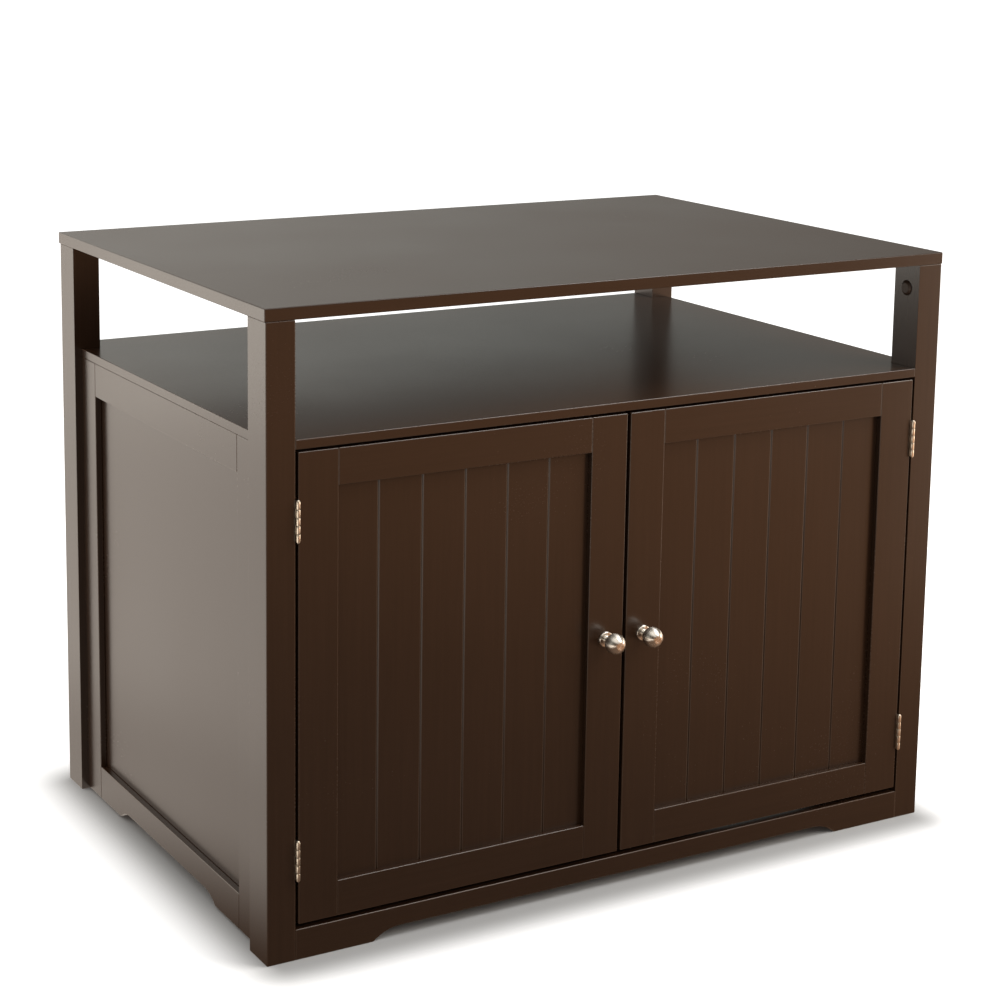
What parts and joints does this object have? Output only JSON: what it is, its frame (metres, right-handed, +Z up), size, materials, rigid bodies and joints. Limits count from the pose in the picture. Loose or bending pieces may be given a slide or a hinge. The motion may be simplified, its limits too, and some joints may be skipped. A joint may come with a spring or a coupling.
{
  "type": "cat litter box cabinet",
  "caption": "Painted cabinet with a flat top over an open bay, a chamber with framed beadboard doors on butt hinges, and a cat's entry in one side.",
  "frame": {"origin": "on the floor, in the middle of the width and of the whole depth, from the knobs to the top's rear edge", "axes": "+X to the right seen from the front, +Y from the doors to the back, +Z up"},
  "size_m": [0.8, 0.5678, 0.635],
  "materials": {
    "painted_wood": "satin dark brown paint",
    "painted_board": "satin dark brown paint",
    "bare_pine": "planed, unpainted",
    "beech": "unpainted",
    "brushed_nickel": "turned, satin nickel",
    "hinge_metal": "satin plated",
    "zinc_plated_steel": "zinc plated",
    "zinc_casting": "die cast",
    "brown_plastic": "moulded",
    "catch_plastic": "moulded"
  },
  "bodies": {
    "cabinet": {"back_panel": "painted_board", "bottom_panel": "painted_board", "cam_bolts": "zinc_plated_steel", "cam_caps": "brown_plastic", "cam_locks": "zinc_casting", "catch_magnets": "zinc_plated_steel", "cleat_screws": "zinc_plated_steel", "door_stop_rail": "painted_wood", "front_apron": "painted_wood", "front_cleat": "bare_pine", "front_left_leg": "painted_wood", "front_right_leg": "painted_wood", "hardware_screws": "zinc_plated_steel", "hinge_pins": "hinge_metal", "left_bottom_hinge_leg_leaf": "hinge_metal", "left_side_bottom_rail": "painted_wood", "left_side_front_stile": "painted_wood", "left_side_panel": "painted_board", "left_side_rear_stile": "painted_wood", "left_side_top_rail": "painted_wood", "left_top_hinge_leg_leaf": "hinge_metal", "magnet_catch": "catch_plastic", "rear_apron": "painted_wood", "rear_cleat": "bare_pine", "rear_left_leg": "painted_wood", "rear_right_leg": "painted_wood", "rear_top_rail": "painted_wood", "right_bottom_hinge_leg_leaf": "hinge_metal", "right_side_bottom_rail": "painted_wood", "right_side_front_stile": "painted_wood", "right_side_panel": "painted_board", "right_side_rear_stile": "painted_wood", "right_side_top_rail": "painted_wood", "right_top_hinge_leg_leaf": "hinge_metal", "shelf_panel": "painted_wood", "top_panel": "painted_wood", "wood_dowels": "beech"},
    "left_door": {"left_bottom_hinge_door_leaf": "hinge_metal", "left_door_beadboard": "painted_board", "left_door_bottom_rail": "painted_wood", "left_door_hinge_stile": "painted_wood", "left_door_meeting_stile": "painted_wood", "left_door_screws": "zinc_plated_steel", "left_door_top_rail": "painted_wood", "left_knob": "brushed_nickel", "left_knob_screw": "zinc_plated_steel", "left_strike_plate": "zinc_plated_steel", "left_top_hinge_door_leaf": "hinge_metal"},
    "right_door": {"right_bottom_hinge_door_leaf": "hinge_metal", "right_door_beadboard": "painted_board", "right_door_bottom_rail": "painted_wood", "right_door_hinge_stile": "painted_wood", "right_door_meeting_stile": "painted_wood", "right_door_screws": "zinc_plated_steel", "right_door_top_rail": "painted_wood", "right_knob": "brushed_nickel", "right_knob_screw": "zinc_plated_steel", "right_strike_plate": "zinc_plated_steel", "right_top_hinge_door_leaf": "hinge_metal"}
  },
  "joints": [
    {"name": "left_door_hinge", "type": "hinge", "parent": "cabinet", "child": "left_door", "pos_m": [-0.3675, -0.25855, 0.26725], "axis": [0, 0, -1], "range_deg": [0, 175]},
    {"name": "right_door_hinge", "type": "hinge", "parent": "cabinet", "child": "right_door", "pos_m": [0.3675, -0.25855, 0.26725], "axis": [0, 0, 1], "range_deg": [0, 175]}
  ]
}
